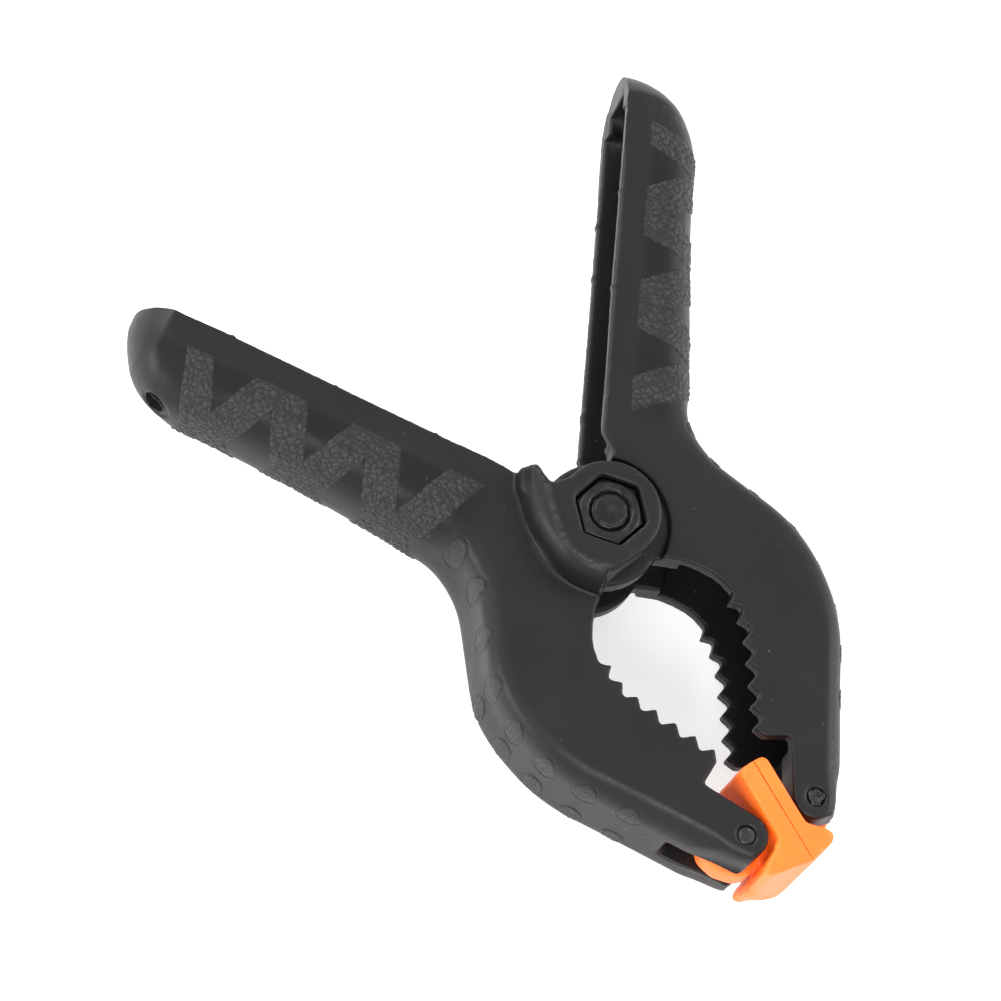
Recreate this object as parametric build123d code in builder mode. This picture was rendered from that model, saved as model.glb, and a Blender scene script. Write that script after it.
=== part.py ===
from build123d import *
import os
from math import sqrt, cos, sin, radians, degrees, atan2, pi

# Nylon spring clamp, nominal 4 inch class.  Millimetres.
# Frame: the clamp lies flat.  +Z is the pivot axis, +X runs along the bisector
# from the pivot to the jaw tips, +Y points to the inner arm.  The origin is on
# the pivot axis in the plane of the rear pivot boss.

# ---------------------------------------------------------------- dimensions
W = 17.0                 # width of jaws and walls
BOSS_H = 4.85            # how far the outer arm's pivot bosses stand proud
ZM = W / 2 + BOSS_H      # height of the mid-plane
HANDLE_W = 16.2          # width of the handles
WALL = 1.8               # side walls of the channel section
BACK = 2.0               # back wall of the channel section
R_BACK = 2.6             # rounding of the back edges

EAR_GAP = 0.15           # axial play between outer and inner pivot ears
INNER_EAR_TOP = 7.30     # inner ear, outer face, from the mid-plane
INNER_EAR_T = 2.9        # inner ear thickness
R_EAR_IN = 8.4           # inner ear radius
R_RECESS = 9.0           # circular recess in the inner arm's walls
R_DISC = 6.8             # outer ear disc radius
R_RIDGE_TOP = 7.8        # top of the rounded wall beside the outer boss
R_RIDGE_BASE = 10.1      # foot of that rounded wall
R_INNER_BOSS = 11.6      # thick zone that joins the inner ears to their walls
HEX_TURN = 42.3          # where the nut's corners point, degrees

BOLT_R = 2.5             # M5 pivot bolt
NUT_AF = 8.0             # across flats, M5
POCKET_AF = 8.6
POCKET_D = 4.6
PIVOT_HOLE_R = 2.57

PIN_X, PIN_Y, PIN_R = 44.75, 5.44, 1.25   # pad pivot pins
PAD_BORE_R = 1.32
EAR_R = 2.95             # rounded end of the jaw ears round the pins
SLOT_HALF = 2.7          # half width of the slot that the pad's web sits in
SLOT_X = 39.6            # where the slot opens through the back wall

PAD_HALF_W = 9.0         # half width of the pad's flange
PAD_T = 2.15             # flange thickness
PAD_GAP = 0.08           # each pad's face from the parting plane
WEB_HALF = 2.45          # half width of the pad's web

WIRE_R = 0.95            # torsion spring wire
COIL_R = 4.75            # mean radius of its coil
COIL_PITCH = 1.8
LEG_A = 42.0             # direction of its legs from -X, degrees
LEG_L = 25.4
COIL_TURNS = 4

BEAK_LOW = 8.65         # underside of the ridge's beak, from the mid-plane
BEAK_TOP = 12.7
HANG_R = 1.6             # small hole in each handle end
HANG_AT = (-43.5, 38.8, ZM)
HANG_AXIS = (0.272, 0.962, 0)

os.makedirs("parts", exist_ok=True)
MID = Plane.XY.offset(ZM)

# Inner edge of one arm, on the +Y side: handle, pivot, throat, teeth, ear.
SLOPE = 0.72
HANDLE_EDGE = [(-66.0, 7.85 + SLOPE * (66.0 - 12.3)), (-11.9, 7.56)]
PIVOT_EDGE = [(-10.9, 7.0), (-8.1, 6.6), (-6.7, 5.5), (-5.8, 2.8), (6.5, 2.6)]
THROAT_EDGE = [(7.2, 3.6), (8.15, 5.05), (9.7, 7.1), (11.3, 8.45), (12.8, 9.42),
               (14.1, 9.98), (16.15, 10.43)]
TEETH_EDGE = [(17.27, 9.2), (18.54, 10.5), (19.85, 9.08), (21.5, 10.1),
              (22.37, 8.3), (24.26, 9.0), (25.0, 7.08), (26.95, 7.8),
              (27.7, 5.76), (29.74, 6.37), (30.37, 4.4), (32.41, 5.02),
              (33.07, 3.07), (34.7, 3.8), (36.3, 6.85)]
EAR_TANGENT = (PIN_X - EAR_R * sin(radians(30)), PIN_Y - EAR_R * cos(radians(30)))

# Outer edge of one arm, from the jaw tip over the shoulder to the handle end:
# straight runs with these corner radii.
BACK_RUN = [(48.05, 7.75), (19.11, 26.72), (-4.39, 16.61), (-44.4, 43.6), (-52.6, 41.0)]
BACK_RADII = [24.0, 11.0, 9.0]
END_CORNER = (-54.6, 38.3)


NX, NY = -SLOPE / sqrt(1 + SLOPE ** 2), -1 / sqrt(1 + SLOPE ** 2)   # out of the channel
UX, UY = -1 / sqrt(1 + SLOPE ** 2), SLOPE / sqrt(1 + SLOPE ** 2)    # along the handle


def handle_beyond(u):
    """Outline of everything past distance u along the handle."""
    return [(u * UX + 25 * NX, u * UY + 25 * NY), (u * UX - 60 * NX, u * UY - 60 * NY),
            ((u + 40) * UX - 60 * NX, (u + 40) * UY - 60 * NY),
            ((u + 40) * UX + 25 * NX, (u + 40) * UY + 25 * NY)]


def shell(boss):
    """One channel-section arm without its pivot ears, on the +Y side.

    boss adds the thick zone that carries the inner arm's ears.
    """
    far = (END_CORNER[0] + 14 * NX, END_CORNER[1] + 14 * NY)
    with BuildPart() as arm:
        # solid with the true back outline
        with BuildSketch(MID):
            with BuildLine():
                FilletPolyline(*BACK_RUN, radius=BACK_RADII)
                Polyline(BACK_RUN[-1], END_CORNER, far, (0, -14), (58, -14), (49.5, 2.0),
                         (PIN_X + EAR_R, PIN_Y), BACK_RUN[0])
            make_face()
        extrude(amount=W / 2, both=True)
        # rounded back edges
        rim = arm.faces().filter_by(Axis.Z).edges()
        fillet([e for e in rim if e.center().Y > 8.2 and -53.0 < e.center().X < 47.9],
               radius=R_BACK)
        # plan outline of the handle, seen square on to its open face:
        # slightly narrower than the jaws, with a rounded end
        plan = Plane(origin=(0, 0, ZM), x_dir=(UX, UY, 0), z_dir=(-NX, -NY, 0))
        h = HANDLE_W / 2
        with BuildSketch(plan.offset(-16)):
            with BuildLine():
                Polyline((10, -20), (10, -W / 2 - 0.5), (22, -h), (61.6, -h))
                ThreePointArc((61.6, -h), (66.3, 0), (61.6, h))
                Polyline((61.6, h), (22, h), (10, W / 2 + 0.5), (10, 20),
                         (80, 20), (80, -20), (10, -20))
            make_face()
        extrude(amount=60, mode=Mode.SUBTRACT)
        # channel
        with BuildSketch(MID):
            with BuildLine():
                FilletPolyline(*BACK_RUN, radius=BACK_RADII)
                Polyline(BACK_RUN[-1], END_CORNER, far, (0, -14), (58, -14), (49.5, 2.0),
                         (PIN_X + EAR_R, PIN_Y), BACK_RUN[0])
            make_face()
            offset(amount=-BACK, kind=Kind.INTERSECTION)
            with BuildSketch(MID, mode=Mode.SUBTRACT):
                with BuildLine():
                    Polyline((37.6, 30), (37.6, -30), (90, -30), (90, 30), close=True)
                make_face()
            with BuildSketch(MID, mode=Mode.SUBTRACT):
                with BuildLine():
                    Polyline(*handle_beyond(61.0), close=True)
                make_face()
        extrude(amount=HANDLE_W / 2 - WALL, both=True, mode=Mode.SUBTRACT)
        # narrower end of the channel, inside the handle's rounded end
        with BuildSketch(MID):
            with BuildLine():
                FilletPolyline(*BACK_RUN, radius=BACK_RADII)
                Polyline(BACK_RUN[-1], END_CORNER, far, (0, -14), (58, -14), (49.5, 2.0),
                         (PIN_X + EAR_R, PIN_Y), BACK_RUN[0])
            make_face()
            offset(amount=-BACK, kind=Kind.INTERSECTION)
            with BuildSketch(MID, mode=Mode.SUBTRACT):
                with BuildLine():
                    Polyline(*handle_beyond(63.5), close=True)
                make_face()
            with BuildSketch(MID, mode=Mode.SUBTRACT):
                with BuildLine():
                    Polyline((-30, 60), (-30, -60), (90, -60), (90, 60), close=True)
                make_face()
        extrude(amount=4.0, both=True, mode=Mode.SUBTRACT)
        if boss:
            with BuildSketch(MID):
                Circle(R_INNER_BOSS)
            extrude(amount=W / 2, both=True)
            with BuildSketch(MID):
                Circle(R_INNER_BOSS + 0.1)
            extrude(amount=INNER_EAR_TOP - INNER_EAR_T, both=True, mode=Mode.SUBTRACT)
        # inner edge with its throat and teeth
        with BuildSketch(MID):
            with BuildLine():
                pts = (HANDLE_EDGE + PIVOT_EDGE + THROAT_EDGE + TEETH_EDGE + [EAR_TANGENT])
                Polyline(*pts)
                ThreePointArc(EAR_TANGENT,
                              (PIN_X + EAR_R * sin(radians(20)), (PIN_Y - EAR_R * cos(radians(20)))),
                              (PIN_X + EAR_R, PIN_Y))
                Polyline((PIN_X + EAR_R, PIN_Y), (70, PIN_Y), (70, -40),
                         (-90, -40), (-90, HANDLE_EDGE[0][1]), HANDLE_EDGE[0])
            make_face()
        extrude(amount=W, both=True, mode=Mode.SUBTRACT)
        # slot for the pad's web, open to the inner edge, the tip and the back
        with BuildSketch(MID):
            with BuildLine():
                Polyline((36.0, 1.0), (36.0, 9.5), (SLOT_X, 12.0), (SLOT_X, 20.0),
                         (52.0, 20.0), (52.0, 1.0), close=True)
            make_face()
        extrude(amount=SLOT_HALF, both=True, mode=Mode.SUBTRACT)
        # pin bore
        with BuildSketch(Plane.XY):
            with Locations((PIN_X, PIN_Y)):
                Circle(PIN_R + 0.02)
        extrude(amount=60, mode=Mode.SUBTRACT)
        # hanging hole through the back wall, where it turns down to the end
        with BuildSketch(Plane(origin=HANG_AT, x_dir=(0, 0, 1), z_dir=HANG_AXIS)):
            Circle(HANG_R)
        extrude(amount=6, both=True, mode=Mode.SUBTRACT)
    return arm.part


def hexagon(af):
    """Hexagonal outline, corners turned by HEX_TURN."""
    return RegularPolygon(radius=af / 2 / cos(pi / 6), side_count=6, rotation=HEX_TURN)


# ---------------------------------------------------------------- inner arm
with BuildPart() as inner_arm:
    add(shell(True))
    # circular recess for the outer arm's ears, on both sides
    for side in (1, -1):
        with BuildSketch(Plane.XY.offset(ZM + side * INNER_EAR_TOP)):
            Circle(R_RECESS)
        extrude(amount=side * 3, mode=Mode.SUBTRACT)
    # pivot ears
    for side in (1, -1):
        with BuildSketch(Plane.XY.offset(ZM + side * (INNER_EAR_TOP - INNER_EAR_T))):
            Circle(R_EAR_IN)
        extrude(amount=side * INNER_EAR_T)
    with BuildSketch(Plane.XY):
        Circle(PIVOT_HOLE_R)
    extrude(amount=60, mode=Mode.SUBTRACT)
inner_arm.part.label = "inner_arm"

# ---------------------------------------------------------------- outer arm
with BuildPart() as outer_arm:
    add(mirror(shell(False), about=Plane.XZ))
    # room for the inner ears between the walls
    with BuildSketch(MID):
        Circle(R_EAR_IN + 0.35)
    extrude(amount=INNER_EAR_TOP + EAR_GAP, both=True, mode=Mode.SUBTRACT)
    z0 = INNER_EAR_TOP + EAR_GAP
    for side in (1, -1):
        # ear disc and the raised plateau on the arm's own side
        with BuildSketch(Plane.XY.offset(ZM + side * z0)):
            Circle(R_DISC)
            with BuildLine():
                Polyline((6.75, 1.2), (7.3, -3.9), (6.3, -4.6), (0, -2), (-5.5, -5.4), (-6.9, -5.3),
                         (-6.3, -2.4), (0, 0), close=True)
            make_face()
        extrude(amount=side * (ZM - z0))
        # rounded wall that climbs from the side face to the plateau
        start = radians(-33.5)
        radial = Plane(origin=(0, 0, 0), x_dir=(cos(start), sin(start), 0),
                       z_dir=(sin(start), -cos(start), 0))
        with BuildSketch(radial):
            with BuildLine():
                Polyline((0, ZM + side * z0), (9.3, ZM + side * z0), (R_RIDGE_BASE, ZM + side * W / 2))
                ThreePointArc((R_RIDGE_BASE, ZM + side * W / 2),
                              (8.75, ZM + side * (W / 2 + 2.1)), (R_RIDGE_TOP, ZM + side * ZM))
                Polyline((R_RIDGE_TOP, ZM + side * ZM), (0, ZM + side * ZM), (0, ZM + side * z0))
            make_face()
        revolve(axis=Axis.Z, revolution_arc=-113)
        # the wall runs on to a blunt beak at the handle's corner; where it
        # overhangs the open edge it stays clear above the other arm's side face
        for low, high, outline in (
                (W / 2 - 0.5, 10.8, [(-5.0, -5.6), (-9.3, -6.1), (-10.85, -7.0), (-8.6, -8.3), (-5.0, -8.2)]),
                (BEAK_LOW, 10.8, [(-5.0, -4.0), (-7.2, -4.9), (-10.1, -5.2), (-10.9, -6.9), (-8.6, -8.3), (-5.0, -8.0)]),
                (BEAK_LOW, BEAK_TOP, [(-5.0, -4.0), (-7.2, -4.9), (-9.9, -5.2), (-10.3, -6.3), (-8.0, -7.2), (-5.0, -6.6)])):
            with BuildSketch(Plane.XY.offset(ZM + side * low)):
                with BuildLine():
                    Polyline(*outline, close=True)
                make_face()
            extrude(amount=side * (high - low))
    # hexagonal pockets for the nut in front and the bolt head behind
    for side in (1, -1):
        with BuildSketch(Plane.XY.offset(ZM + side * (ZM - POCKET_D))):
            add(hexagon(POCKET_AF))
        extrude(amount=side * (POCKET_D + 1), mode=Mode.SUBTRACT)
    with BuildSketch(Plane.XY):
        Circle(BOLT_R + 0.05)
    extrude(amount=60, mode=Mode.SUBTRACT)
outer_arm.part.label = "outer_arm"

# ---------------------------------------------------------------- pivot bolt and nut
with BuildPart() as pivot_bolt:
    with BuildSketch(Plane.XY.offset(POCKET_D)):
        Circle(BOLT_R)
    extrude(amount=2 * ZM - POCKET_D - 0.35)
    chamfer(pivot_bolt.faces().sort_by(Axis.Z)[-1].edges(), length=0.5)
    with BuildSketch(Plane.XY.offset(POCKET_D)):
        add(hexagon(NUT_AF))
    extrude(amount=-3.5)
    # the head's corners are turned down to a cone
    with BuildSketch(Plane.XZ):
        with BuildLine():
            Polyline((0, -1), (3.6, -1), (3.6, POCKET_D - 3.5), (4.9, POCKET_D - 2.8),
                     (4.9, 40), (0, 40), close=True)
        make_face()
    revolve(axis=Axis.Z, mode=Mode.INTERSECT)
pivot_bolt.part.label = "pivot_bolt"

NUT_Z = 2 * ZM - POCKET_D
NUT_H = 4.0
with BuildPart() as pivot_nut:
    with BuildSketch(Plane.XY.offset(NUT_Z)):
        add(hexagon(NUT_AF))
    extrude(amount=NUT_H)
    with BuildSketch(Plane.XZ):
        with BuildLine():
            Polyline((BOLT_R + 0.02, NUT_Z - 1), (4.9, NUT_Z - 1), (4.9, NUT_Z + NUT_H - 0.55),
                     (3.75, NUT_Z + NUT_H), (3.0, NUT_Z + NUT_H), (BOLT_R + 0.02, NUT_Z + NUT_H - 0.5),
                     close=True)
        make_face()
    revolve(axis=Axis.Z, mode=Mode.INTERSECT)
pivot_nut.part.label = "pivot_nut"

# ---------------------------------------------------------------- torsion spring
# Four close-wound turns, drawn as touching rings, and a straight leg from each
# end of the coil into the channel of each handle.
LA = radians(LEG_A)
start = (COIL_R * sin(LA), COIL_R * cos(LA))
end = (start[0] - LEG_L * cos(LA), start[1] + LEG_L * sin(LA))
top = COIL_PITCH * (COIL_TURNS - 1) / 2
with BuildPart() as torsion_spring:
    for i in range(COIL_TURNS):
        with BuildSketch(Plane.XZ):
            with Locations((COIL_R, ZM - top + i * COIL_PITCH)):
                Circle(WIRE_R)
        revolve(axis=Axis.Z)
    for s in (1, -1):
        with BuildSketch(Plane(origin=(start[0], s * start[1], ZM + s * top),
                               z_dir=(end[0] - start[0], s * (end[1] - start[1]), 0))):
            Circle(WIRE_R - 0.05)
        extrude(amount=LEG_L)
torsion_spring.part.label = "torsion_spring"


# ---------------------------------------------------------------- swivel pads
def pad():
    """One T-section swivel pad on the +Y side: flange, hooked lip, web round the pin."""
    with BuildPart() as piece:
        with BuildSketch(MID):
            with BuildLine():
                Polyline((37.0, PAD_GAP), (50.9, PAD_GAP), (50.15, 3.7), (49.45, 4.5), (48.6, 4.1),
                         (47.0, PAD_T), (37.6, PAD_T), (37.0, 1.6), close=True)
            make_face()
        extrude(amount=PAD_HALF_W, both=True)
        with BuildSketch(MID):
            with BuildLine():
                Polyline((41.3, 1.0), (48.4, 1.0), (48.2, 2.8), (47.4, 4.2), (PIN_X, PIN_Y), (42.2, 4.2),
                         (41.3, 2.8), close=True)
            make_face()
            with Locations((PIN_X, PIN_Y)):
                Circle(3.6)
            with BuildLine():
                Polyline((PIN_X - 3.4, PIN_Y - 1.2), (PIN_X + 1.2, PIN_Y - 3.4), (PIN_X + 3.3, PIN_Y + 1.4),
                         (PIN_X + 1.6, PIN_Y + 3.6), (PIN_X - 1.0, PIN_Y + 4.4), (PIN_X - 3.0, PIN_Y + 3.8),
                         close=True)
            make_face()
        extrude(amount=WEB_HALF, both=True)
        with BuildSketch(Plane.XY):
            with Locations((PIN_X, PIN_Y)):
                Circle(PAD_BORE_R)
        extrude(amount=60, mode=Mode.SUBTRACT)
    return piece.part


with BuildPart() as inner_pad:
    add(pad())
inner_pad.part.label = "inner_pad"

with BuildPart() as outer_pad:
    add(mirror(pad(), about=Plane.XZ))
outer_pad.part.label = "outer_pad"

# ---------------------------------------------------------------- pad pins
with BuildPart() as inner_pad_pin:
    with BuildSketch(Plane.XY.offset(BOSS_H + 0.5)):
        with Locations((PIN_X, PIN_Y)):
            Circle(PIN_R)
    extrude(amount=W - 0.8)
    chamfer(inner_pad_pin.edges().filter_by(GeomType.CIRCLE), length=0.15)
inner_pad_pin.part.label = "inner_pad_pin"

with BuildPart() as outer_pad_pin:
    with BuildSketch(Plane.XY.offset(BOSS_H + 0.5)):
        with Locations((PIN_X, -PIN_Y)):
            Circle(PIN_R)
    extrude(amount=W - 0.8)
    chamfer(outer_pad_pin.edges().filter_by(GeomType.CIRCLE), length=0.15)
outer_pad_pin.part.label = "outer_pad_pin"

# ---------------------------------------------------------------- export
for piece in (outer_arm, inner_arm, pivot_bolt, pivot_nut, torsion_spring,
              outer_pad, inner_pad, outer_pad_pin, inner_pad_pin):
    export_step(piece.part, f"parts/{piece.part.label}.step")
    box = piece.part.bounding_box()
    print(piece.part.label, len(piece.part.solids()), round(piece.part.volume, 1), box.min, box.max)
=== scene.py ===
import math

import bmesh
import bpy
import numpy as np
from mathutils import Matrix, Vector
from mathutils.bvhtree import BVHTree


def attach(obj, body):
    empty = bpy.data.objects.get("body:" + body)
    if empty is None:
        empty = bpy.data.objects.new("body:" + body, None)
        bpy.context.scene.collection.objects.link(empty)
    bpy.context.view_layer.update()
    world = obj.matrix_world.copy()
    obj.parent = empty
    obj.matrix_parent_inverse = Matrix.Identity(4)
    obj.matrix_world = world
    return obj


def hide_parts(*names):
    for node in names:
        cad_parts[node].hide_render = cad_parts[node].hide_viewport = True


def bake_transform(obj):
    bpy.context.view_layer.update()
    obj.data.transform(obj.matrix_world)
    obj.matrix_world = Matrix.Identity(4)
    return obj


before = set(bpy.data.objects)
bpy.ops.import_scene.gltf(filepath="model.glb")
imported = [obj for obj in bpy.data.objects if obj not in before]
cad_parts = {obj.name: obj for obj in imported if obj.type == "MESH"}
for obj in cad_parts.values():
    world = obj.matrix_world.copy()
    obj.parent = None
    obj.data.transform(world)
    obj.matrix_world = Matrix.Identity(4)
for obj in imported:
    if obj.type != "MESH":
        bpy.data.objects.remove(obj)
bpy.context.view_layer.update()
rng = np.random.default_rng(7)

# ------------------------------------------------------------------ dimensions, mm
ZM = 13.35                      # mid-plane
W = 17.0
SLOPE = 0.72
NRM = math.hypot(1.0, SLOPE)
U = np.array([-1.0, SLOPE]) / NRM          # along the inner arm's handle
N = np.array([SLOPE, 1.0]) / NRM           # from its open edge towards its back
EDGE0 = float(np.dot((-12.3, 7.85), N))    # open edge, distance from the pivot along N
PIN = (44.75, 5.44)


# ------------------------------------------------------------------ small tools
def mesh_arrays(me):
    co = np.empty(len(me.vertices) * 3, np.float64)
    me.vertices.foreach_get("co", co)
    return co.reshape(-1, 3)


def set_co(me, co):
    me.vertices.foreach_set("co", np.ascontiguousarray(co, np.float32).ravel())
    me.update()


def edges_of(me):
    e = np.empty(len(me.edges) * 2, np.int64)
    me.edges.foreach_get("vertices", e)
    return e.reshape(-1, 2)


def smooth(co, e, times, factor=0.5, keep=None):
    """Laplacian smoothing; keep is a per-point weight from 0, fixed, to 1."""
    n = len(co)
    deg = np.bincount(e.ravel(), minlength=n).astype(float)[:, None]
    deg[deg == 0] = 1
    f = factor if keep is None else factor * keep[:, None]
    for _ in range(times):
        s = np.empty_like(co)
        for k in range(3):
            s[:, k] = np.bincount(e[:, 0], co[e[:, 1], k], n) + np.bincount(e[:, 1], co[e[:, 0], k], n)
        co = co + f * (s / deg - co)
    return co


def normals_of(me):
    me.update()
    no = np.empty(len(me.vertices) * 3, np.float32)
    me.vertices.foreach_get("normal", no)
    return no.reshape(-1, 3).astype(float)


def remeshed(source, name, voxel_mm, extra=()):
    """A new mesh, in millimetres, remeshed evenly from a CAD node's mesh and any extra solids."""
    me = source.data.copy()
    me.transform(Matrix.Scale(1000.0, 4))
    me.materials.clear()
    if extra:
        bm = bmesh.new()
        bm.from_mesh(me)
        for verts, faces in extra:
            vs = [bm.verts.new(v) for v in verts]
            for f in faces:
                bm.faces.new([vs[i] for i in f])
        bm.to_mesh(me)
        bm.free()
    tmp = bpy.data.objects.new(name + "_tmp", me)
    bpy.context.scene.collection.objects.link(tmp)
    m = tmp.modifiers.new("r", "REMESH")
    m.mode = "VOXEL"
    m.voxel_size = voxel_mm
    m.adaptivity = 0.0
    bpy.context.view_layer.update()
    out = bpy.data.meshes.new_from_object(tmp.evaluated_get(bpy.context.evaluated_depsgraph_get()))
    bpy.data.objects.remove(tmp)
    bpy.data.meshes.remove(me)
    out.name = name
    return out


def obj_from(me, name, mat, smooth_shade=True):
    """Turn a millimetre mesh into a scene object in metres."""
    me.transform(Matrix.Scale(0.001, 4))
    o = bpy.data.objects.new(name, me)
    bpy.context.scene.collection.objects.link(o)
    me.materials.clear()
    me.materials.append(mat)
    me.polygons.foreach_set("use_smooth", np.full(len(me.polygons), smooth_shade))
    me.update()
    return o


def step(a, b, x):
    t = np.clip((x - a) / (b - a), 0, 1)
    return t * t * (3 - 2 * t)


# cellular noise for the pebbled grain
def pebbles(p, cell, seed):
    """Distance-to-border value of a jittered 3-D cell pattern: 0 in the grooves, 1 on a pebble."""
    g = np.floor(p / cell).astype(np.int64)
    f1 = np.full(len(p), 9.0)
    f2 = np.full(len(p), 9.0)
    for dx in (-1, 0, 1):
        for dy in (-1, 0, 1):
            for dz in (-1, 0, 1):
                c = g + np.array([dx, dy, dz])
                h = (c[:, 0] * 73856093) ^ (c[:, 1] * 19349663) ^ (c[:, 2] * 83492791) ^ seed
                h = (h ^ (h >> 13)) * 1274126177 & 0x7FFFFFFF
                j = np.stack([(h & 1023) / 1023.0, ((h >> 10) & 1023) / 1023.0, ((h >> 20) & 1023) / 1023.0], 1)
                q = (c + 0.12 + 0.76 * j) * cell
                d = np.linalg.norm(p - q, axis=1) / cell
                lower = d < f1
                f2 = np.where(lower, f1, np.minimum(f2, d))
                f1 = np.where(lower, d, f1)
    return np.clip((f2 - f1) / 0.42, 0, 1)


def local(co, s):
    """Handle coordinates of millimetre points: along the handle, depth from its open edge, z."""
    xy = co[:, :2] * np.array([1.0, s])
    return xy @ U, xy @ N - EDGE0, co[:, 2] - ZM


def from_local(u, n, z, s):
    xy = np.outer(u, U) + np.outer(n + EDGE0, N)
    return np.column_stack([xy[:, 0], s * xy[:, 1], z + ZM])


# ------------------------------------------------------------------ materials
def principled(name):
    mat = bpy.data.materials.new(name)
    mat.use_nodes = True
    nt = mat.node_tree
    return mat, nt, nt.nodes["Principled BSDF"]


def node(nt, kind, **inputs):
    n = nt.nodes.new(kind)
    for k, v in inputs.items():
        n.inputs[k.replace("_", " ")].default_value = v
    return n


def noise(nt, coord, scale, detail=4.0, rough=0.55, distortion=0.0):
    n = nt.nodes.new("ShaderNodeTexNoise")
    n.inputs["Scale"].default_value = scale
    n.inputs["Detail"].default_value = detail
    n.inputs["Roughness"].default_value = rough
    n.inputs["Distortion"].default_value = distortion
    nt.links.new(coord, n.inputs["Vector"])
    return n.outputs["Fac"]


def ramp(nt, fac, stops):
    r = nt.nodes.new("ShaderNodeValToRGB")
    el = r.color_ramp.elements
    while len(el) < len(stops):
        el.new(0.5)
    for e, (pos, col) in zip(el, stops):
        e.position = pos
        e.color = (*col, 1) if len(col) == 3 else col
    nt.links.new(fac, r.inputs["Fac"])
    return r.outputs["Color"]


def mix(nt, fac, a, b, mode="MIX"):
    m = nt.nodes.new("ShaderNodeMix")
    m.data_type = "RGBA"
    m.blend_type = mode
    for key, v in (("Factor", fac), ("A", a), ("B", b)):
        sock = [i for i in m.inputs if i.name == key and i.enabled][0]
        if hasattr(v, "is_output"):
            nt.links.new(v, sock)
        elif key == "Factor":
            sock.default_value = v
        else:
            sock.default_value = (*v, 1)
    return [o for o in m.outputs if o.enabled][0]


def math_node(nt, op, a, b=None, clamp=False):
    m = nt.nodes.new("ShaderNodeMath")
    m.operation = op
    m.use_clamp = clamp
    for i, v in enumerate((a, b)):
        if v is None:
            continue
        if hasattr(v, "is_output"):
            nt.links.new(v, m.inputs[i])
        else:
            m.inputs[i].default_value = v
    return m.outputs[0]


def bump(nt, height, distance, strength=1.0, normal=None):
    b = nt.nodes.new("ShaderNodeBump")
    b.inputs["Distance"].default_value = distance
    b.inputs["Strength"].default_value = strength
    nt.links.new(height, b.inputs["Height"])
    if normal is not None:
        nt.links.new(normal, b.inputs["Normal"])
    return b.outputs["Normal"]


def object_coord(nt):
    return nt.nodes.new("ShaderNodeTexCoord").outputs["Object"]


def nylon_material():
    mat, nt, p = principled("black_nylon")
    c = object_coord(nt)
    broad = noise(nt, c, 90, 3)
    grain = noise(nt, c, 2600, 3, 0.6)
    specks = noise(nt, c, 1500, 1, 0.4)
    flow = noise(nt, c, 260, 5, 0.6, 0.6)
    # the grain attribute pales the pebble tops, the ovals and the torn crest flash: partly the texture's own
    # paler tone, partly a painted sheen
    grip_at = nt.nodes.new("ShaderNodeAttribute")
    grip_at.attribute_name = "grain"
    pale_grain_and_sheen = grip_at.outputs["Fac"]
    base = ramp(nt, broad, [(0.30, (0.0050, 0.0050, 0.0053)), (0.72, (0.0080, 0.0080, 0.0084))])
    base = mix(nt, pale_grain_and_sheen, base, (0.0210, 0.0210, 0.0215))
    # painted shade: the shade attribute darkens the base in the grip's grooves, in the rings round the ovals and
    # along the ridge's foot
    shade_at = nt.nodes.new("ShaderNodeAttribute")
    shade_at.attribute_name = "shade"
    base = mix(nt, math_node(nt, "MULTIPLY", shade_at.outputs["Fac"], 0.75), base, (0.0018, 0.0018, 0.0020))
    base = mix(nt, ramp(nt, specks, [(0.775, (0, 0, 0)), (0.82, (1, 1, 1))]), base, (0.050, 0.048, 0.046))
    # edges a little paler, from the pointedness of the mesh: partly rubbed wear, partly a painted edge highlight
    geo = nt.nodes.new("ShaderNodeNewGeometry")
    wear_and_edge_highlight = math_node(nt, "MULTIPLY", ramp(nt, geo.outputs["Pointiness"], [(0.53, (0, 0, 0)), (0.62, (1, 1, 1))]),
                     ramp(nt, flow, [(0.35, (0.15, 0.15, 0.15)), (0.7, (1, 1, 1))]))
    base = mix(nt, math_node(nt, "MULTIPLY", wear_and_edge_highlight, 0.55), base, (0.060, 0.060, 0.062))
    nt.links.new(base, p.inputs["Base Color"])
    rough = math_node(nt, "ADD", math_node(nt, "MULTIPLY", flow, 0.14), 0.34)
    rough = math_node(nt, "ADD", rough, math_node(nt, "MULTIPLY", grain, 0.06), clamp=True)
    nt.links.new(rough, p.inputs["Roughness"])
    p.inputs["Specular IOR Level"].default_value = 0.22
    p.inputs["IOR"].default_value = 1.5
    n1 = bump(nt, grain, 0.00005, 0.55)
    n2 = bump(nt, flow, 0.00018, 0.45, n1)
    nt.links.new(n2, p.inputs["Normal"])
    return mat


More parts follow.
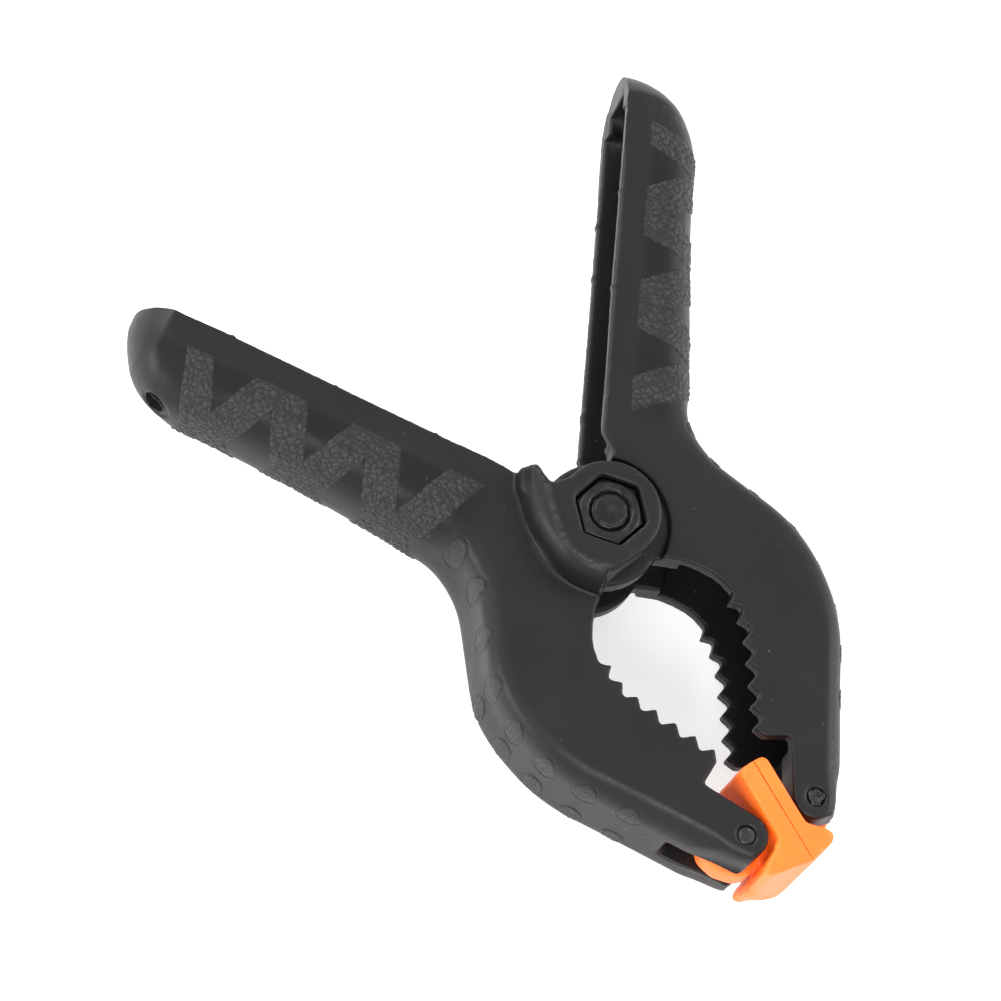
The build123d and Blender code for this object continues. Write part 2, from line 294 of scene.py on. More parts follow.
def orange_material():
    mat, nt, p = principled("orange_pad")
    c = object_coord(nt)
    broad = noise(nt, c, 120, 3)
    grain = noise(nt, c, 2200, 3, 0.6)
    base = ramp(nt, broad, [(0.30, (0.98, 0.140, 0.012)), (0.70, (1.0, 0.172, 0.020))])
    # painted edge highlight: sharp edges, found by pointiness, turn a paler orange
    geo = nt.nodes.new("ShaderNodeNewGeometry")
    edge = ramp(nt, geo.outputs["Pointiness"], [(0.54, (0, 0, 0)), (0.66, (1, 1, 1))])
    base = mix(nt, math_node(nt, "MULTIPLY", edge, 0.45), base, (1.0, 0.34, 0.11))
    nt.links.new(base, p.inputs["Base Color"])
    rough = math_node(nt, "ADD", math_node(nt, "MULTIPLY", grain, 0.15), 0.36, clamp=True)
    nt.links.new(rough, p.inputs["Roughness"])
    p.inputs["Subsurface Weight"].default_value = 0.35
    p.inputs["Specular IOR Level"].default_value = 0.32
    p.inputs["Subsurface Radius"].default_value = (1.0, 0.28, 0.08)
    p.inputs["Subsurface Scale"].default_value = 0.0022
    # painted glow: a faint red emission lifts the pad's shaded sides, though the pad is no lamp
    p.inputs["Emission Color"].default_value = (1.0, 0.05, 0.0, 1)
    p.inputs["Emission Strength"].default_value = 0.10
    nt.links.new(bump(nt, grain, 0.00004, 0.5), p.inputs["Normal"])
    return mat


def steel_material(name, dark, light, rough0, metal=1.0):
    mat, nt, p = principled(name)
    c = object_coord(nt)
    broad = noise(nt, c, 500, 4, 0.6)
    fine = noise(nt, c, 3500, 3, 0.6)
    base = ramp(nt, broad, [(0.32, dark), (0.70, light)])
    # painted edge highlight: sharp edges, found by pointiness, mixed to a paler tone
    geo = nt.nodes.new("ShaderNodeNewGeometry")
    edge = ramp(nt, geo.outputs["Pointiness"], [(0.53, (0, 0, 0)), (0.60, (1, 1, 1))])
    base = mix(nt, math_node(nt, "MULTIPLY", edge, 0.5), base, tuple(min(1.0, 3.0 * x) for x in light))
    nt.links.new(base, p.inputs["Base Color"])
    p.inputs["Metallic"].default_value = metal
    rough = math_node(nt, "ADD", math_node(nt, "MULTIPLY", broad, 0.22), rough0, clamp=True)
    nt.links.new(rough, p.inputs["Roughness"])
    nt.links.new(bump(nt, fine, 0.00003, 0.6, bump(nt, broad, 0.00006, 0.4)), p.inputs["Normal"])
    return mat


NYLON = nylon_material()
ORANGE = orange_material()
BLACK_STEEL = steel_material("black_steel", (0.012, 0.012, 0.013), (0.030, 0.030, 0.032), 0.20, 0.75)
SPRING = steel_material("spring_wire", (0.10, 0.10, 0.105), (0.24, 0.24, 0.25), 0.26)
PIN_STEEL = steel_material("pin_steel", (0.012, 0.012, 0.013), (0.030, 0.030, 0.032), 0.28, 0.6)


# ------------------------------------------------------------------ arms
HALF = 8.1                     # half width of a handle's section
CROWN = 6.5                    # height of the rounded back of that section


def depth_at(u):
    return 11.55 - 0.0185 * (u - 8)


def crown_drop(z, height):
    """How far an elliptical crown has fallen at z, beyond the small rim fillet already there."""
    az = np.minimum(np.abs(z), HALF)
    fall = height * (1 - np.clip(1 - (az / HALF) ** 2.5, 0, 1) ** (1 / 2.5))
    rb = 2.6
    rim = np.where(az < HALF - rb, 0, rb - np.sqrt(np.clip(rb * rb - (az - (HALF - rb)) ** 2, 0, None)))
    return np.clip(fall - rim, 0, None)


def wrap_coordinate(n, z, depth):
    """Distance round the handle's outside from the front open edge, and the whole way round."""
    ang = np.arctan2(np.clip(n - (depth - CROWN), 0, None) / CROWN, np.abs(z) / HALF)
    front = np.where(n < depth - CROWN, np.clip(n, 0, None), (depth - CROWN) + ang * 7.3)
    total = 2 * ((depth - CROWN) + (math.pi / 2) * 7.3)
    return np.where(z >= 0, front, total - front), total


def waves(p, seed, scale, n=9):
    """Smooth low-frequency noise from a sum of random plane waves, about -1 to 1."""
    r = np.random.default_rng(seed)
    out = np.zeros(len(p))
    for _ in range(n):
        k = r.normal(size=3)
        k *= (0.5 + r.random()) * 2 * math.pi / scale / np.linalg.norm(k)
        out += np.sin(p @ k + r.random() * 6.28)
    return out / math.sqrt(n)


def grip(u, v, total):
    """Signed depth, mm, inside the zigzag grip: bars across the handle joined by slanting bands."""
    v = np.minimum(v, total - v)
    t = v - 3.4
    d = np.full(len(u), -9.0)
    for k in range(3):
        bar = (2.45 - np.abs(u - (57.1 - 13.35 * k - 0.37 * t))) * 0.938
        slant = (2.60 - np.abs(u - ((45.9, 32.2, 18.4)[k] + 0.46 * t))) * 0.908
        d = np.maximum(d, np.maximum(bar, slant))
    d = np.minimum(d, t)
    return np.minimum(d, 58.4 - 0.28 * t - u)


OVALS = ((-5.9, -17.9, 4.1, 3.6), (-0.3, -18.2, 4.1, 3.6), (5.7, -20.9, 4.0, 3.5), (12.1, -23.1, 3.9, 3.3),
         (18.2, -23.5, 3.8, 2.9), (24.0, -22.4, 3.9, 2.5), (29.5, -19.7, 4.4, 2.2), (34.8, -16.4, 4.7, 1.9))


def oval_field(co, s):
    """Nearest oval's elliptical radius at each point, 1 on its outline."""
    r = np.full(len(co), 9.0)
    y = co[:, 1] * s
    for cx, cy, zc, hz in OVALS:
        al = np.hypot(co[:, 0] - cx, y + cy) / 1.62
        r = np.minimum(r, np.hypot(al, (co[:, 2] - ZM - zc) / hz))
        if cx > 10:
            r = np.minimum(r, np.hypot(al, (co[:, 2] - ZM + zc) / hz))
    return r


def refine(me, pick):
    """Split the faces whose corners are picked, once each way."""
    bm = bmesh.new()
    bm.from_mesh(me)
    bm.verts.ensure_lookup_table()
    edges = [e for e in bm.edges if pick[e.verts[0].index] and pick[e.verts[1].index]]
    bmesh.ops.subdivide_edges(bm, edges=edges, cuts=1, use_grid_fill=True)
    bm.to_mesh(me)
    bm.free()
    me.update()


def handle_weight(u):
    return step(9, 26, u)


def outer_skin(co, no, s):
    """1 on the outside of the handle, back and shoulder, 0 inside the channels."""
    u, n, z = local(co, s)
    depth = depth_at(u)
    rr = np.where(n > depth - CROWN, np.hypot((n - (depth - CROWN)) / CROWN, z / HALF), np.abs(z) / HALF)
    face = np.abs(no[:, 2])
    back = no[:, 0] * N[0] + s * no[:, 1] * N[1]
    out = np.maximum(face * (np.sign(no[:, 2]) == np.sign(z)), back)
    return (rr > 0.86) * (out > 0.25)


# rounded ridge beside the pivot boss, outer arm: foot and crest of the near side, end to beak
RIDGE_FOOT = ((8.30, -5.80), (7.00, -7.05), (5.50, -8.15), (3.00, -9.15), (0.54, -9.45), (-2.00, -9.50),
              (-4.30, -9.30), (-6.24, -8.84), (-8.00, -8.35), (-9.60, -7.60), (-11.05, -6.80))
RIDGE_CREST = ((6.50, -4.32), (5.45, -5.45), (4.10, -6.60), (2.45, -7.42), (0.58, -7.58), (-1.29, -7.40),
               (-2.80, -7.05), (-4.60, -6.55), (-6.40, -5.95), (-8.10, -5.72), (-9.72, -5.62))


def spline(points, per):
    """Catmull-Rom curve through the points."""
    p = np.array(points)
    p = np.vstack([2 * p[0] - p[1], p, 2 * p[-1] - p[-2]])
    out = []
    for i in range(1, len(p) - 2):
        for t in np.arange(per) / per:
            a, b, c, d = p[i - 1], p[i], p[i + 1], p[i + 2]
            out.append(0.5 * (2 * b + (c - a) * t + (2 * a - 5 * b + 4 * c - d) * t * t
                              + (3 * b - a - 3 * c + d) * t ** 3))
    out.append(p[-2])
    return np.array(out)


FOOT, CREST = spline(RIDGE_FOOT, 6), spline(RIDGE_CREST, 6)


def ridge_solid(side):
    """Closed loft: a rolled section that rises from the side face to the crest."""
    verts, faces = [], []
    count, arc = len(FOOT), 12
    m = arc + 2
    for i, (f, c) in enumerate(zip(FOOT, CREST)):
        k = i / (count - 1)
        top = 13.33 - 0.25 * step(0.80, 1.0, k)
        inward = (c - f) / np.linalg.norm(c - f) * (1.2 - 0.8 * step(0.62, 0.80, k))
        for j in range(arc):
            a = math.pi / 2 * j / (arc - 1)
            xy = c + (f - c) * math.cos(a) ** 1.12
            verts.append((xy[0], xy[1], ZM + side * (8.35 + (top - 8.35) * math.sin(a) ** 0.95)))
        verts.append((c[0] + inward[0], c[1] + inward[1], ZM + side * (top - 0.12)))
        verts.append((c[0] + inward[0], c[1] + inward[1], ZM + side * 8.68))
    for i in range(count - 1):
        for j in range(m):
            k = (j + 1) % m
            q = (i * m + j, i * m + k, (i + 1) * m + k, (i + 1) * m + j)
            faces.append(q if side > 0 else q[::-1])
    first, last = tuple(range(m)), tuple(range((count - 1) * m, count * m))
    faces.append(first[::-1] if side > 0 else first)
    faces.append(last if side > 0 else last[::-1])
    return verts, faces


def distance_to(path, xy):
    """Distance in plan from each point to a polyline."""
    best = np.full(len(xy), 99.0)
    for a, b in zip(path[:-1], path[1:]):
        ab = b - a
        t = np.clip(((xy - a) @ ab) / (ab @ ab), 0, 1)
        best = np.minimum(best, np.linalg.norm(xy - a - t[:, None] * ab, axis=1))
    return best


# the domed end of a handle: depth of its back along the handle
END_U = (40.0, 50.0, 56.0, 58.5, 60.4, 62.2, 63.5, 64.5, 65.4, 66.0, 66.35)
END_N = (11.05, 10.95, 10.65, 10.10, 9.35, 8.20, 7.00, 5.55, 4.00, 2.60, 1.60)


def dome_tree():
    """Smooth closed shape of the handle's end, in (along, depth, z) coordinates."""
    us = np.concatenate([np.linspace(40, 60, 31), np.linspace(60.3, 66.3, 31)])
    ang = np.linspace(0, math.pi, 61)
    verts, faces = [], []
    for u in us:
        zm = 8.12 if u <= 61.6 else max(0.25, math.sqrt(max(0.0, 9.36 ** 2 - (u - 56.97) ** 2)))
        high = float(np.interp(u, END_U, END_N))
        p = float(np.interp(u, (46, 54, 60, 66), (3.1, 2.8, 2.35, 2.1)))
        row = [(u, -2.0, zm)]
        for a in ang:
            c, q = math.cos(a), math.sin(a)
            row.append((u, high * abs(q) ** (2 / p), zm * math.copysign(abs(c) ** (2 / p), c)))
        row.append((u, -2.0, -zm))
        verts += row
    m = len(ang) + 2
    for i in range(len(us) - 1):
        for j in range(m - 1):
            faces.append((i * m + j, i * m + j + 1, (i + 1) * m + j + 1, (i + 1) * m + j))
    faces.append(tuple(range((len(us) - 1) * m, len(us) * m)))
    return BVHTree.FromPolygons(verts, faces)


DOME = dome_tree()


def onto_dome(co, no, s):
    """Move the outside of the handle's end onto the dome, seen from the handle's axis."""
    u, n, z = local(co, s)
    # this arm's end, a little longer and deeper than the common shape
    ku, kn = (1.040, 1.035) if s > 0 else (1.022, 1.0)
    u, n = 50 + (u - 50) / ku, n / kn
    inside = np.zeros(len(co))
    rows = np.nonzero((u > 50.3) & (np.abs(z) < 9.5) & (n > -1.6))[0]
    nu = no[:, 0] * U[0] + s * no[:, 1] * U[1]
    nn = no[:, 0] * N[0] + s * no[:, 1] * N[1]
    for i in rows:
        d = Vector((u[i] - 50.0, n[i], z[i]))
        far = d.length
        d.normalize()
        hit = DOME.ray_cast(Vector((50.0, 0.0, 0.0)), d)
        if hit[0] is None:
            continue
        ratio = far / hit[3]
        facing = nu[i] * d.x + nn[i] * d.y + no[i, 2] * d.z
        w = float(step(0.83, 0.90, ratio)) * float(step(50.3, 55.5, u[i])) * (1.0 if facing > -0.35 else 0.0)
        if facing < 0.35 and ratio < 0.93 and n[i] > 0.9:
            inside[i] = step(3.0, 4.2, math.hypot(co[i, 0] + 43.2, co[i, 1] * s - 39.8))
        if w:
            k = (1 - w) * far + w * hit[3]
            u[i], n[i], z[i] = 50.0 + d.x * k, d.y * k, d.z * k
    return from_local(50 + (u - 50) * ku, n * kn, z, s), inside


def build_arm(name, cad, s, voxel):
    me = remeshed(cad, name, voxel, () if s > 0 else (ridge_solid(1), ridge_solid(-1)))
    co = mesh_arrays(me)
    e = edges_of(me)
    # the teeth and the rims stay crisper than the broad faces
    throat = (np.abs(co[:, 1]) < 9.5) & (co[:, 0] > 8) & (co[:, 0] < 37)
    keep = np.where(throat, 0.45, 1.0)
    co = smooth(co, e, 3, 0.5, keep)

    # a rounded crown along the handle's back, and a rounded end
    u, n, z = local(co, s)
    depth = depth_at(u)
    wgt = step(0.10, 0.95, n / depth) * handle_weight(u) * (n > -3)
    n2 = n - crown_drop(z, CROWN) * wgt
    # the back runs a little deeper towards the pivot
    deeper = np.clip(0.71 - 0.048 * (u - 22), -0.08, 0.74) + (0.10 + 0.36 * step(24, 32, u) if s > 0 else -0.10)
    n2 = n2 + deeper * step(0.25, 0.95, n / depth) * step(13, 23, u)
    if s < 0:
        n2 = n2 - 0.34 * step(3.2, 0.6, n) * (np.abs(z) > 5.4) * step(11, 18, u) * step(60, 50, u)
    u2 = u
    # the open edge is slightly ragged, with a few small nibs of flash
    rim = (np.abs(z) > 5.4) & (n < 0.9) & (u > 10) & (u < 66)
    r = np.random.default_rng(31 + s)
    rag = 0.012 * np.sin(u * 1.9 + s) + 0.010 * np.sin(u * 4.7 + 2 * np.sign(z)) + 0.10
    for _ in range(9):
        at, amp, wide, side = r.uniform(12, 65), r.uniform(0.08, 0.24), r.uniform(0.12, 0.4), r.choice([-1, 1])
        rag = rag + amp * np.exp(-((u - at) / wide) ** 2) * (np.sign(z) == side)
    n2 = n2 - np.where(rim, rag * step(0.9, 0.1, n) * 1.0, 0)
    co = from_local(u2, n2, z, s)
    # the jaw's back edges are rounded more towards the pin, and its corner there is cut back
    far_pin = np.hypot(co[:, 0] - PIN[0], co[:, 1] * s - PIN[1])
    edge = 7.75 + (48.05 - co[:, 0]) * 0.6555
    amount = 0.70 * step(20, 38, co[:, 0]) * step(4.8, 8.3, np.abs(co[:, 2] - ZM))
    corner = 1.5 * np.clip((co[:, 0] - 41.8) / 5.6, 0, 1) ** 1.3 * step(2.7, 3.3, np.abs(co[:, 2] - ZM))
    amount = np.maximum(amount, corner)
    co[:, 1] -= (s * amount * step(1.9, 5.2, far_pin)
                 * step(-4.2, 0.2, co[:, 1] * s - edge) * (co[:, 0] > 19))
    co = smooth(co, e, 2, 0.5, keep)
    set_co(me, co)
    co, inside = onto_dome(co, normals_of(me), s)
    co = smooth(co, e, 190, 0.5, inside)
    set_co(me, co)
    # broad soft rounding of the handle's end, of the shoulder and of the ridge's beak
    y = co[:, 1] * s
    no = normals_of(me)
    u, n, z = local(co, s)
    depth = depth_at(u)
    end = step(49, 54, u) * step(0.3, 1.6, n) * 0.9
    shoulder = (step(30, 14, co[:, 0]) * step(-16, -6, co[:, 0]) * (y > 12) * 0.9
                * ((np.abs(no[:, 2]) > 0.05) | (no[:, 1] * s > 0.1)) * (np.abs(z) > 3.6))
    tip = step(43.5, 46.5, co[:, 0]) * step(6.4, 7.6, y) * (np.abs(z) > 3.2) * 0.8
    beak = np.zeros(len(co))
    if s < 0:
        beak = (step(7.0, 8.2, np.hypot(co[:, 0], co[:, 1])) * step(-2.0, -4.4, co[:, 0]) * (co[:, 1] < -3.0)
                * (co[:, 1] > -11.5) * (np.abs(z) > 8.2)) * 0.25
    rounds = 3
    co = smooth(co, e, 4 * rounds, 0.5, np.clip(end, 0, 1))
    co = smooth(co, e, 14 * rounds, 0.5, np.clip(shoulder, 0, 1))
    co = smooth(co, e, 6 * rounds, 0.5, np.clip(tip + beak, 0, 1))
    # the far-side half of the shoulder stands a little prouder
    u, n, z = local(co, s)
    out = step(22, 12, co[:, 0]) * step(-14, -4, co[:, 0]) * (y > 13.5)
    co[:, 1] += s * (0.22 + 0.28 * step(2, -5, z)) * out * step(13.5, 16.5, y)
    set_co(me, co)

    # finer faces where the grain is modelled
    u, n, z = local(co, s)
    depth = depth_at(u)
    v, total = wrap_coordinate(n, z, depth)
    skin = outer_skin(co, normals_of(me), s)
    pattern = (grip(u, v, total) > -0.5) & skin & (u > 12)
    back_out = (oval_field(co, s) < 1.35)
    refine(me, pattern | back_out)
    co = mesh_arrays(me)
    no = normals_of(me)
    u, n, z = local(co, s)
    depth = depth_at(u)
    v, total = wrap_coordinate(n, z, depth)
    skin = outer_skin(co, no, s)
    fade = step(13.5, 18.5, u) * (u < 62)
    g = step(-0.06, 0.12, grip(u, v, total)) * skin * fade
    soft_top = step(0.0, 1.1, np.minimum(v, total - v) - 3.4)
    pb = pebbles(co, 0.86, 11 + s)
    pb2 = pebbles(co + 3.3, 0.66, 29 + s)
    stone = np.maximum(pb, 0.5 * pb2)
    lift = g * (-0.03 + (0.215 * stone + 0.03 * pb2) * (0.5 + 0.5 * soft_top))
    # raised ovals with a sunk outline round each
    r = oval_field(co, s)
    facing = no[:, 0] * N[0] + s * no[:, 1] * N[1]
    outside = (facing > 0.1) | ((np.abs(no[:, 2]) > 0.2) & (np.abs(z) > 6))
    far_side = co[:, 1] * s > 14
    inside = (r < 1.0)
    oval = step(1.02, 0.90, r) * outside * far_side
    ring = np.exp(-((r - 1.05) / 0.075) ** 2) * outside * far_side
    lift = lift + oval * (0.035 + 0.085 * pebbles(co, 0.60, 47 + s)) - 0.075 * ring
    # shallow dished land round the hanging hole
    hx, hy = -42.7, 41.7
    hr = np.sqrt((co[:, 0] - hx) ** 2 + (co[:, 1] * s - hy) ** 2 + (z) ** 2)
    lift = lift - 0.22 * step(2.45, 2.2, hr) * (facing > 0.2) * (hr > 1.2)
    # torn flash along the ridge's crest, and a tight line round its foot
    if s < 0:
        xy = co[:, :2]
        crest = distance_to(CREST, xy) * (np.abs(z) > 12.3) + 9 * (np.abs(z) <= 12.3)
        foot = distance_to(FOOT, xy) + 9 * ((np.abs(z) > 9.1) | (np.abs(z) < 8.0))
        torn = 0.5 + 0.5 * waves(co, 131, 0.9) + 0.35 * np.abs(waves(co, 132, 0.45))
        co[:, 2] += (np.where(z > 0, 1.0, -0.35) * (0.14 + 0.20 * np.clip(torn, 0, 1.3))
                     * np.exp(-(crest / 0.24) ** 2))
        lift = lift - 0.05 * np.exp(-(foot / 0.65) ** 2) * (np.abs(no[:, 2]) > 0.5)
    # the jaw's back stands a little fuller
    lift = lift + (0.28 * step(0.35, 0.75, facing) * step(6, 12, co[:, 0]) * step(46.5, 42.5, co[:, 0])
                   * (co[:, 1] * s > 6.5) * step(7.5, 4.0, z))
    # slight sinks and swells of the moulding
    lift = lift + 0.035 * waves(co, 5 + s, 17.0)
    co = co + no * lift[:, None]
    set_co(me, co)
    # paler on pebble tops, ovals and the torn crest flash: partly the grain's own tone, partly a painted sheen
    at = me.attributes.new("grain", "FLOAT", "POINT")
    grain_and_sheen_tone = np.clip(g * (0.15 + 0.95 * stone) + 0.7 * oval, 0, 1)
    if s < 0:
        grain_and_sheen_tone = np.maximum(grain_and_sheen_tone, np.clip(torn, 0, 1) * np.exp(-(crest / 0.30) ** 2))
    at.data.foreach_set("value", np.ascontiguousarray(grain_and_sheen_tone, np.float32))
    # painted shade: darker colour between the grip bands, in the rings round the ovals and along the ridge's
    # foot, stored in the shade attribute
    between = step(0.0, 1.0, np.minimum(v, total - v) - 3.4) * (1 - g) * skin * fade
    painted_shade = np.maximum(between, ring)
    if s < 0:
        painted_shade = np.maximum(painted_shade, np.exp(-(foot / 0.60) ** 2))
    at = me.attributes.new("shade", "FLOAT", "POINT")
    at.data.foreach_set("value", np.ascontiguousarray(np.clip(painted_shade, 0, 1), np.float32))
    return me


VOX = 0.25
for name, s in (("inner_arm", 1), ("outer_arm", -1)):
    me = build_arm(name + "_moulding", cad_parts[name], s, VOX)
    o = obj_from(me, name + "_moulding", NYLON)
    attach(o, name)
    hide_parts(name)


# ------------------------------------------------------------------ swivel pads
for name in ("inner_pad", "outer_pad"):
    me = remeshed(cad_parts[name], name + "_moulding", 0.17)
    co = mesh_arrays(me)
    e = edges_of(me)
    y0 = co[:, 1].copy()
    co = smooth(co, e, 6, 0.5, np.where(np.abs(y0) < 0.6, 0.3, 1.0))
    # the web's edge is a smooth curve, and the flange's ends are well rounded
    web = step(3.4, 4.4, np.abs(co[:, 1])) * (np.abs(co[:, 2] - ZM) < 2.9)
    co = smooth(co, e, 60, 0.5, web)
    zz = np.abs(co[:, 2] - ZM)
    soft = np.maximum(step(47.6, 49.6, co[:, 0]) * (0.35 + 0.65 * step(5.0, 7.6, zz)), 0.45 * step(7.4, 8.4, zz))
    co = smooth(co, e, 48, 0.5, soft * step(0.0, 0.9, np.abs(y0)))
    # mating faces stay flat and close together
    flat = step(0.75, 0.35, np.abs(y0))
    co[:, 1] = co[:, 1] * (1 - flat) + (y0 - np.sign(y0) * 0.035) * flat
    # the pads run a little past the pins, and meet just on the inner arm's side
    z = co[:, 2] - ZM
    own = np.sign(co[:, 1].mean())
    wide = 0.95 + 0.75 * step(-2, 8, z) if own < 0 else 0.35
    co[:, 1] += own * wide * step(47.5, 49.6, co[:, 0]) * step(1.5, 4.0, np.abs(co[:, 1]))
    co[:, 0] += 0.95 * step(46.5, 50.9, co[:, 0]) - 0.12 * step(39.5, 37.0, co[:, 0])
    if own < 0:
        co[:, 0] -= 0.75 * step(-4, -8.5, z) * step(1.2, 4.0, np.abs(co[:, 1])) * step(47.5, 50, co[:, 0])
    co[:, 2] += 0.30 * step(5.5, 9.0, z) - 0.80 * step(-5.5, -9.0, z)
    co[:, 1] += 0.28 * step(2.6, 0.4, np.abs(co[:, 1]))
    set_co(me, co)
    no = normals_of(me)
    co = co + no * (0.02 * waves(co, 71, 6.0) + 0.008 * waves(co, 72, 1.6))[:, None]
    set_co(me, co)
    o = obj_from(me, name + "_moulding", ORANGE)
    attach(o, name)
    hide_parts(name)


# ------------------------------------------------------------------ fasteners
def detail(node_name, body, mat, slot, voxel, shape):
    me = remeshed(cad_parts[node_name], node_name + "_detail", voxel)
    co = mesh_arrays(me)
    e = edges_of(me)
    co = smooth(co, e, 3, 0.5)
    set_co(me, co)
    co = shape(co, normals_of(me))
    set_co(me, co)
    o = obj_from(me, node_name + "_detail", mat)
    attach(o, body)
    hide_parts(node_name)
    return o


def bolt_shape(co, no):
    r = np.hypot(co[:, 0], co[:, 1])
    th = np.arctan2(co[:, 1], co[:, 0])
    # rolled thread on the length that carries the nut
    ph = co[:, 2] / 0.8 - th / (2 * math.pi)
    saw = np.abs((ph % 1.0) - 0.5) * 2
    cut = 0.36 * saw * step(17.6, 18.6, co[:, 2]) * (r > 2.2) * (np.abs(no[:, 2]) < 0.7)
    co = co.copy()
    co[:, :2] *= (1 - cut / np.maximum(r, 0.1))[:, None]
    top = co[:, 2] > 26.0
    co[:, 2] += np.where(top, 0.025 * waves(co, 81, 1.4) - 0.02 * (r / 2.0) ** 2, 0)
    return co


def nut_shape(co, no):
    return co + no * (0.012 * waves(co, 91, 1.1) + 0.010 * waves(co, 92, 3.5))[:, None]


V = 0.07
detail("pivot_bolt", "outer_arm", BLACK_STEEL, "black_steel", V, bolt_shape)
detail("pivot_nut", "outer_arm", BLACK_STEEL, "black_steel", V, nut_shape)


def pin_shape(ragged, px, py):
    def shape(co, no):
        co = co.copy()
        r = np.hypot(co[:, 0] - px, co[:, 1] - py)
        near = co[:, 2] > 21.0
        if ragged:
            # sheared and torn end
            d = 0.16 * waves(co, 101, 1.1) + 0.12 * np.abs(waves(co, 102, 0.6)) - 0.18 * step(0.9, 0.2, r)
            co[:, 2] += np.where(near & (no[:, 2] > 0.2), d - 0.12, 0)
        else:
            # flat end with a shallow rolled ring
            ring = 0.07 * np.exp(-((r - 0.92) / 0.12) ** 2)
            co[:, 2] += np.where(near & (no[:, 2] > 0.2), ring - 0.03 * (r < 0.8), 0)
        return co
    return shape


detail("outer_pad_pin", "outer_arm", PIN_STEEL, "pin_steel", V, pin_shape(False, PIN[0], -PIN[1]))
detail("inner_pad_pin", "inner_arm", PIN_STEEL, "pin_steel", V, pin_shape(True, PIN[0], PIN[1]))


# ------------------------------------------------------------------ torsion spring
def spring():
    """Close-wound helix with a straight leg leaving each end along the tangent."""
    cr, wire, half = 4.75, 0.86, 2.82
    la = math.radians(42.0)
    leg = 25.2
    pts = []
    a0, a1 = -(math.pi / 2 - la), (math.pi / 2 - la) + 6 * math.pi
    start = np.array([cr * math.sin(la), -cr * math.cos(la), ZM - half])
    away = np.array([-math.cos(la), -math.sin(la), 0.0])
    for t in np.linspace(leg, 0.25, 50):
        pts.append(start + away * t)
    steps = 300
    for i in range(steps + 1):
        f = i / steps
        a = a0 + (a1 - a0) * f
        pts.append(np.array([cr * math.cos(a), cr * math.sin(a), ZM - half + 2 * half * f]))
    end = np.array([cr * math.sin(la), cr * math.cos(la), ZM + half])
    away = np.array([-math.cos(la), math.sin(la), 0.0])
    for t in np.linspace(0.25, leg, 50):
        pts.append(end + away * t)
    p = np.array(pts)
    tan = np.gradient(p, axis=0)
    tan /= np.linalg.norm(tan, axis=1)[:, None]
    ref = np.array([0, 0, 1.0])
    side = np.cross(tan, ref)
    side /= np.linalg.norm(side, axis=1)[:, None]
    up = np.cross(side, tan)
    m = 20
    th = np.linspace(0, 2 * math.pi, m, endpoint=False)
    ring = wire * (np.cos(th)[None, :, None] * side[:, None, :] + np.sin(th)[None, :, None] * up[:, None, :])
    v = (p[:, None, :] + ring).reshape(-1, 3)
    faces = []
    for i in range(len(p) - 1):
        for j in range(m):
            k = (j + 1) % m
            faces.append((i * m + j, i * m + k, (i + 1) * m + k, (i + 1) * m + j))
    # rounded cut ends
    for at, sgn in ((0, -1), (len(p) - 1, 1)):
        base = at * m
        prev = [base + j for j in range(m)]
        for f, g in ((0.92, 0.18), (0.72, 0.30)):
            ids = []
            for j in range(m):
                ids.append(len(v))
                v = np.vstack([v, p[at] + f * (v[base + j] - p[at]) + sgn * tan[at] * g])
            for j in range(m):
                k = (j + 1) % m
                q = (prev[j], prev[k], ids[k], ids[j])
                faces.append(q if sgn > 0 else q[::-1])
            prev = ids
        faces.append(tuple(prev) if sgn > 0 else tuple(prev[::-1]))
    me = bpy.data.meshes.new("spring_coil")
    me.from_pydata(v.tolist(), [], faces)
    bm = bmesh.new()
    bm.from_mesh(me)
    bmesh.ops.recalc_face_normals(bm, faces=bm.faces)
    bm.to_mesh(me)
    bm.free()
    o = obj_from(me, "spring_coil", SPRING)
    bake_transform(o)
    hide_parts("torsion_spring")
    return o


spring()

# ------------------------------------------------------------------ camera
def make_camera():
    th, ua = math.radians(22.796), math.radians(121.25)
    phi = math.radians(-29.631)
    d_px, scale = 4543.04, 7.6
    ux, uy = math.cos(ua), math.sin(ua)
    vx, vy = uy, -ux
    right = np.array([vx, -ux * math.cos(th), -ux * math.sin(th)])
    down = np.array([vy, -uy * math.cos(th), -uy * math.sin(th)])
    ahead = np.array([0.0, math.sin(th), -math.cos(th)])
    t = np.array([589.008 - 500.5, 542.300 - 500.5, d_px])
    pos = -(t[0] * right + t[1] * down + t[2] * ahead) / scale
    c, sn = math.cos(-phi), math.sin(-phi)
    turn = np.array([[c, -sn, 0], [sn, c, 0], [0, 0, 1]])
    right, down, ahead, pos = turn @ right, turn @ down, turn @ ahead, turn @ pos
    pos = (pos + np.array([0, 0, ZM])) / 1000
    cam = bpy.data.cameras.new("camera")
    cam.sensor_width = 36
    cam.lens = d_px * 36 / 1001
    cam.clip_start, cam.clip_end = 0.01, 20
    o = bpy.data.objects.new("camera", cam)
    bpy.context.scene.collection.objects.link(o)
    m = Matrix.Identity(4)
    for i in range(3):
        m[i][0], m[i][1], m[i][2], m[i][3] = right[i], -down[i], -ahead[i], pos[i]
    o.matrix_world = m
    bpy.context.scene.camera = o
    return o, right, down, ahead


camera, CAM_R, CAM_D, CAM_A = make_camera()


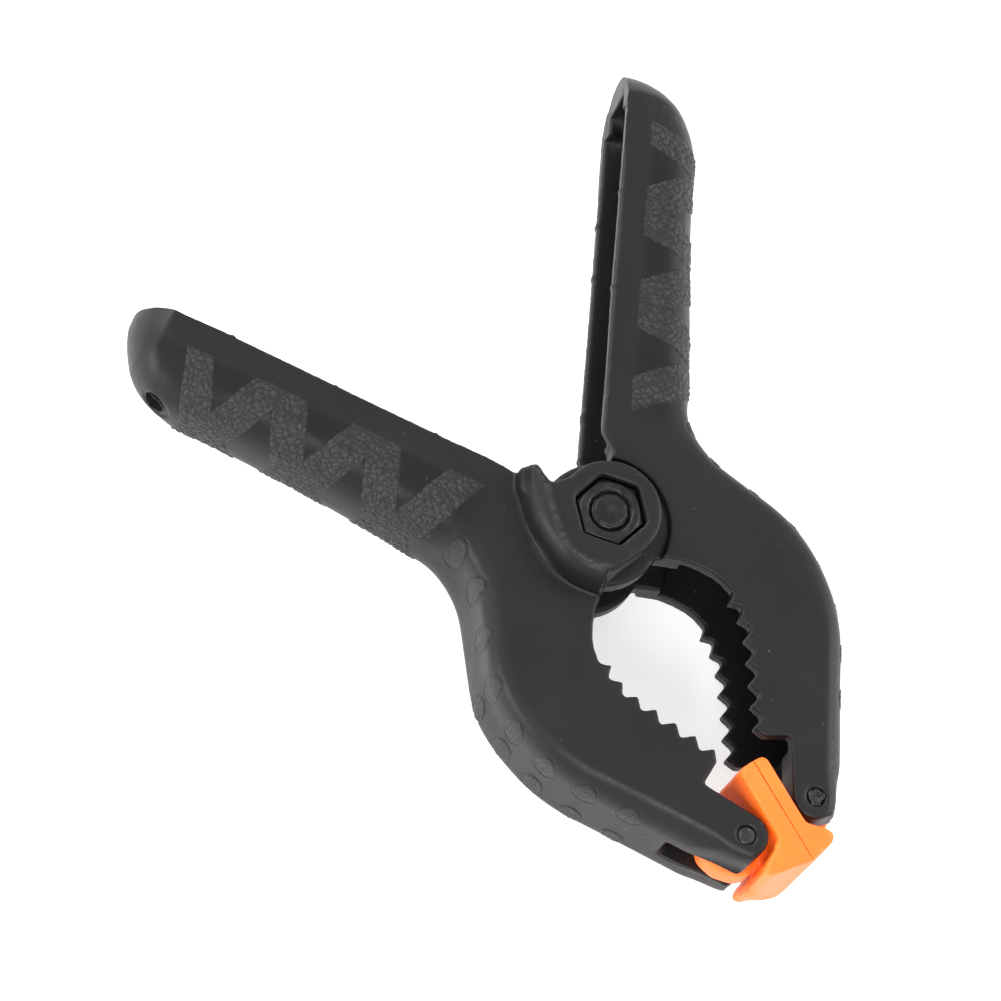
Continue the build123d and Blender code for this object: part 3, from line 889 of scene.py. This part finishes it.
# ------------------------------------------------------------------ studio
def area(name, pos, target, size, power, color=(1, 1, 1)):
    li = bpy.data.lights.new(name, "AREA")
    li.shape = "RECTANGLE"
    li.size, li.size_y = size
    li.energy = power
    li.color = color
    o = bpy.data.objects.new(name, li)
    bpy.context.scene.collection.objects.link(o)
    o.location = pos
    o.rotation_euler = (Vector(target) - Vector(pos)).to_track_quat("-Z", "Y").to_euler()
    return o


bpy.context.scene.view_settings.view_transform = "Standard"
world = bpy.data.worlds.new("studio")
bpy.context.scene.world = world
world.use_nodes = True
world.node_tree.nodes["Background"].inputs["Color"].default_value = (1.0, 1.0, 1.0, 1)
world.node_tree.nodes["Background"].inputs["Strength"].default_value = 1.28

# directions on the picture: right, up and towards the camera
R3, U3, T3 = Vector(CAM_R), Vector(-CAM_D), Vector(-CAM_A)
centre = Vector((0, 0, ZM / 1000))
area("key", centre + 0.60 * (-0.50 * R3 + 0.80 * U3 + 0.30 * T3), centre, (0.5, 0.3), 3.2)
area("side_left", centre + 0.62 * (-0.93 * R3 - 0.20 * U3 + 0.30 * T3), centre, (0.26, 0.26), 3.0)
area("low_front", centre + 0.56 * (-0.02 * R3 - 0.36 * U3 + 0.93 * T3), centre, (0.16, 0.16), 1.8)
area("side_right", centre + 0.60 * (0.95 * R3 + 0.25 * U3 + 0.22 * T3), centre, (0.30, 0.5), 2.2)

floor_me = bpy.data.meshes.new("floor")
floor_me.from_pydata([(-3, -3, -0.0002), (3, -3, -0.0002), (3, 3, -0.0002), (-3, 3, -0.0002)], [], [(0, 1, 2, 3)])
floor = bpy.data.objects.new("floor", floor_me)
bpy.context.scene.collection.objects.link(floor)
fm, fnt, fp = principled("pale_floor")
fp.inputs["Base Color"].default_value = (0.58, 0.58, 0.58, 1)
fp.inputs["Emission Color"].default_value = (1.0, 1.0, 1.0, 1)
fp.inputs["Emission Strength"].default_value = 0.58
fp.inputs["Roughness"].default_value = 0.9
floor_me.materials.append(fm)

bpy.context.view_layer.update()
